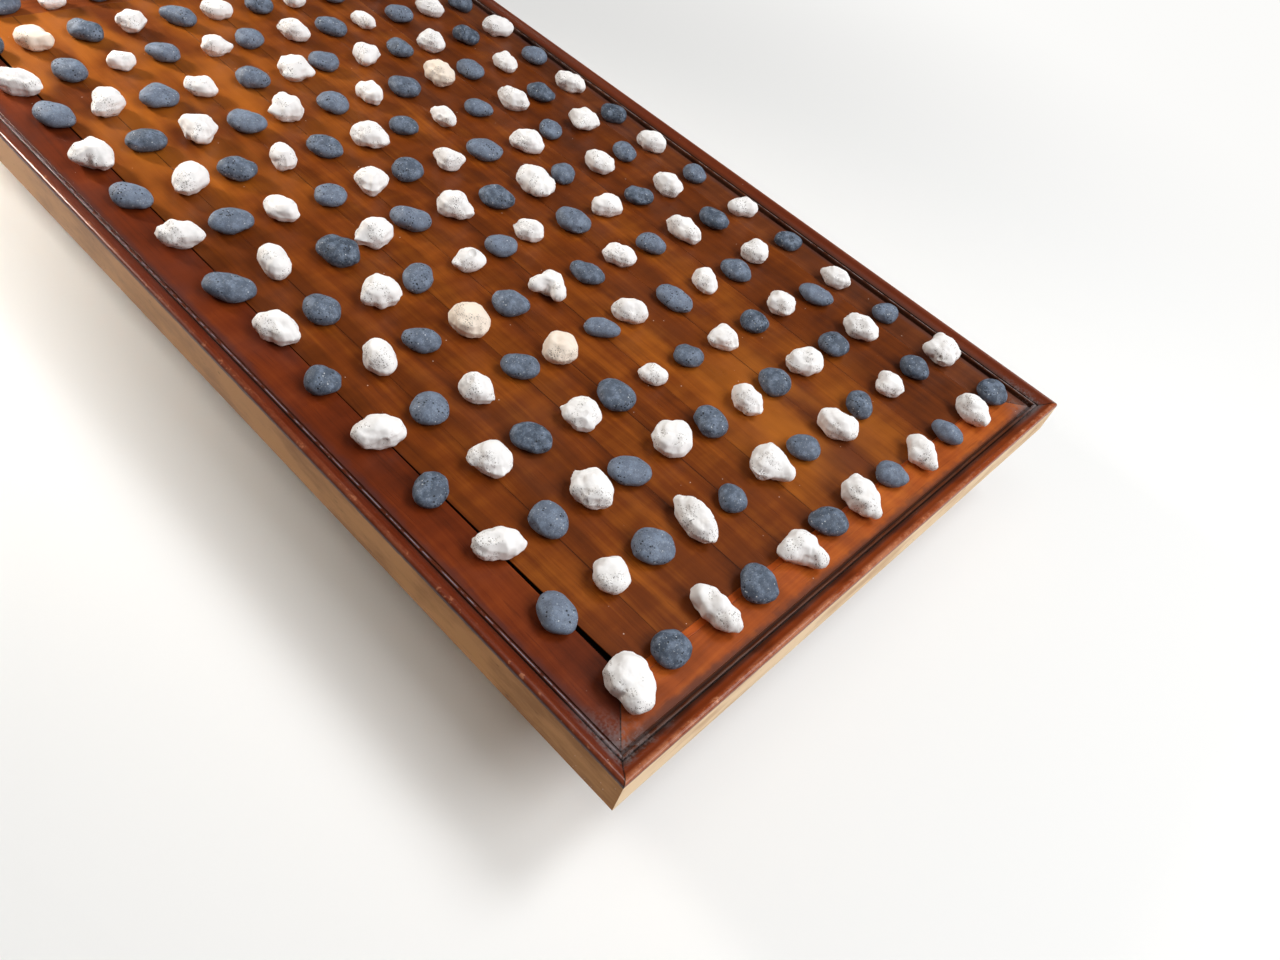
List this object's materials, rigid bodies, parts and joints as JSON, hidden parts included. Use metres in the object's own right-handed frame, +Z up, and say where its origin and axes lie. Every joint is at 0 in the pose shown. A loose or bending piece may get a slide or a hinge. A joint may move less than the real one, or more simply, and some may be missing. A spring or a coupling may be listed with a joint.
{
  "type": "konane board",
  "caption": "Long wooden konane board with a raised moulded rim, set with rows of loose black lava pebbles and white coral pieces that alternate like a checkerboard.",
  "frame": {"origin": "centre of the footprint, on the surface that the feet stand on", "axes": "+Z up from the playing surface; +Y along the board from the picture's near end to its far end; +X across the board to the picture's right"},
  "size_m": [0.42, 0.689, 0.0902],
  "materials": {
    "rail_wood": "old satin finish, worn",
    "panel_wood": "old satin finish, worn",
    "slip_wood": "old satin finish",
    "plain_wood": "unfinished",
    "foot_wood": "old satin finish",
    "brass": "tarnished",
    "coral": "matt, pitted",
    "lava": "water-worn, dull sheen"
  },
  "bodies": {
    "board": {"left_rail": "rail_wood", "right_rail": "rail_wood", "near_rail": "rail_wood", "far_rail": "rail_wood", "corner_splines": "plain_wood", "plank_1": "panel_wood", "plank_2": "panel_wood", "plank_3": "panel_wood", "plank_4": "panel_wood", "plank_5": "panel_wood", "plank_6": "panel_wood", "plank_7": "panel_wood", "near_end_slip": "slip_wood", "plank_dowels": "plain_wood", "near_batten": "plain_wood", "middle_batten": "plain_wood", "far_batten": "plain_wood", "batten_screws": "brass", "near_left_foot": "foot_wood", "near_right_foot": "foot_wood", "far_left_foot": "foot_wood", "far_right_foot": "foot_wood"},
    "white_stones_row_01": {"white_stones_row_01": "coral"},
    "white_stones_row_02": {"white_stones_row_02": "coral"},
    "white_stones_row_03": {"white_stones_row_03": "coral"},
    "white_stones_row_04": {"white_stones_row_04": "coral"},
    "white_stones_row_05": {"white_stones_row_05": "coral"},
    "white_stones_row_06": {"white_stones_row_06": "coral"},
    "white_stones_row_07": {"white_stones_row_07": "coral"},
    "white_stones_row_08": {"white_stones_row_08": "coral"},
    "white_stones_row_09": {"white_stones_row_09": "coral"},
    "white_stones_row_10": {"white_stones_row_10": "coral"},
    "white_stones_row_11": {"white_stones_row_11": "coral"},
    "white_stones_row_12": {"white_stones_row_12": "coral"},
    "white_stones_row_13": {"white_stones_row_13": "coral"},
    "white_stones_row_14": {"white_stones_row_14": "coral"},
    "white_stones_row_15": {"white_stones_row_15": "coral"},
    "black_stones_row_01": {"black_stones_row_01": "lava"},
    "black_stones_row_02": {"black_stones_row_02": "lava"},
    "black_stones_row_03": {"black_stones_row_03": "lava"},
    "black_stones_row_04": {"black_stones_row_04": "lava"},
    "black_stones_row_05": {"black_stones_row_05": "lava"},
    "black_stones_row_06": {"black_stones_row_06": "lava"},
    "black_stones_row_07": {"black_stones_row_07": "lava"},
    "black_stones_row_08": {"black_stones_row_08": "lava"},
    "black_stones_row_09": {"black_stones_row_09": "lava"},
    "black_stones_row_10": {"black_stones_row_10": "lava"},
    "black_stones_row_11": {"black_stones_row_11": "lava"},
    "black_stones_row_12": {"black_stones_row_12": "lava"},
    "black_stones_row_13": {"black_stones_row_13": "lava"},
    "black_stones_row_14": {"black_stones_row_14": "lava"},
    "black_stones_row_15": {"black_stones_row_15": "lava"}
  },
  "joints": [
    {"name": "lift_white_stones_row_01", "type": "slide", "parent": "board", "child": "white_stones_row_01", "axis": [0, 0, 1], "range_m": [0, 0.06]},
    {"name": "lift_white_stones_row_02", "type": "slide", "parent": "board", "child": "white_stones_row_02", "axis": [0, 0, 1], "range_m": [0, 0.06]},
    {"name": "lift_white_stones_row_03", "type": "slide", "parent": "board", "child": "white_stones_row_03", "axis": [0, 0, 1], "range_m": [0, 0.06]},
    {"name": "lift_white_stones_row_04", "type": "slide", "parent": "board", "child": "white_stones_row_04", "axis": [0, 0, 1], "range_m": [0, 0.06]},
    {"name": "lift_white_stones_row_05", "type": "slide", "parent": "board", "child": "white_stones_row_05", "axis": [0, 0, 1], "range_m": [0, 0.06]},
    {"name": "lift_white_stones_row_06", "type": "slide", "parent": "board", "child": "white_stones_row_06", "axis": [0, 0, 1], "range_m": [0, 0.06]},
    {"name": "lift_white_stones_row_07", "type": "slide", "parent": "board", "child": "white_stones_row_07", "axis": [0, 0, 1], "range_m": [0, 0.06]},
    {"name": "lift_white_stones_row_08", "type": "slide", "parent": "board", "child": "white_stones_row_08", "axis": [0, 0, 1], "range_m": [0, 0.06]},
    {"name": "lift_white_stones_row_09", "type": "slide", "parent": "board", "child": "white_stones_row_09", "axis": [0, 0, 1], "range_m": [0, 0.06]},
    {"name": "lift_white_stones_row_10", "type": "slide", "parent": "board", "child": "white_stones_row_10", "axis": [0, 0, 1], "range_m": [0, 0.06]},
    {"name": "lift_white_stones_row_11", "type": "slide", "parent": "board", "child": "white_stones_row_11", "axis": [0, 0, 1], "range_m": [0, 0.06]},
    {"name": "lift_white_stones_row_12", "type": "slide", "parent": "board", "child": "white_stones_row_12", "axis": [0, 0, 1], "range_m": [0, 0.06]},
    {"name": "lift_white_stones_row_13", "type": "slide", "parent": "board", "child": "white_stones_row_13", "axis": [0, 0, 1], "range_m": [0, 0.06]},
    {"name": "lift_white_stones_row_14", "type": "slide", "parent": "board", "child": "white_stones_row_14", "axis": [0, 0, 1], "range_m": [0, 0.06]},
    {"name": "lift_white_stones_row_15", "type": "slide", "parent": "board", "child": "white_stones_row_15", "axis": [0, 0, 1], "range_m": [0, 0.06]},
    {"name": "lift_black_stones_row_01", "type": "slide", "parent": "board", "child": "black_stones_row_01", "axis": [0, 0, 1], "range_m": [0, 0.06]},
    {"name": "lift_black_stones_row_02", "type": "slide", "parent": "board", "child": "black_stones_row_02", "axis": [0, 0, 1], "range_m": [0, 0.06]},
    {"name": "lift_black_stones_row_03", "type": "slide", "parent": "board", "child": "black_stones_row_03", "axis": [0, 0, 1], "range_m": [0, 0.06]},
    {"name": "lift_black_stones_row_04", "type": "slide", "parent": "board", "child": "black_stones_row_04", "axis": [0, 0, 1], "range_m": [0, 0.06]},
    {"name": "lift_black_stones_row_05", "type": "slide", "parent": "board", "child": "black_stones_row_05", "axis": [0, 0, 1], "range_m": [0, 0.06]},
    {"name": "lift_black_stones_row_06", "type": "slide", "parent": "board", "child": "black_stones_row_06", "axis": [0, 0, 1], "range_m": [0, 0.06]},
    {"name": "lift_black_stones_row_07", "type": "slide", "parent": "board", "child": "black_stones_row_07", "axis": [0, 0, 1], "range_m": [0, 0.06]},
    {"name": "lift_black_stones_row_08", "type": "slide", "parent": "board", "child": "black_stones_row_08", "axis": [0, 0, 1], "range_m": [0, 0.06]},
    {"name": "lift_black_stones_row_09", "type": "slide", "parent": "board", "child": "black_stones_row_09", "axis": [0, 0, 1], "range_m": [0, 0.06]},
    {"name": "lift_black_stones_row_10", "type": "slide", "parent": "board", "child": "black_stones_row_10", "axis": [0, 0, 1], "range_m": [0, 0.06]},
    {"name": "lift_black_stones_row_11", "type": "slide", "parent": "board", "child": "black_stones_row_11", "axis": [0, 0, 1], "range_m": [0, 0.06]},
    {"name": "lift_black_stones_row_12", "type": "slide", "parent": "board", "child": "black_stones_row_12", "axis": [0, 0, 1], "range_m": [0, 0.06]},
    {"name": "lift_black_stones_row_13", "type": "slide", "parent": "board", "child": "black_stones_row_13", "axis": [0, 0, 1], "range_m": [0, 0.06]},
    {"name": "lift_black_stones_row_14", "type": "slide", "parent": "board", "child": "black_stones_row_14", "axis": [0, 0, 1], "range_m": [0, 0.06]},
    {"name": "lift_black_stones_row_15", "type": "slide", "parent": "board", "child": "black_stones_row_15", "axis": [0, 0, 1], "range_m": [0, 0.06]}
  ]
}
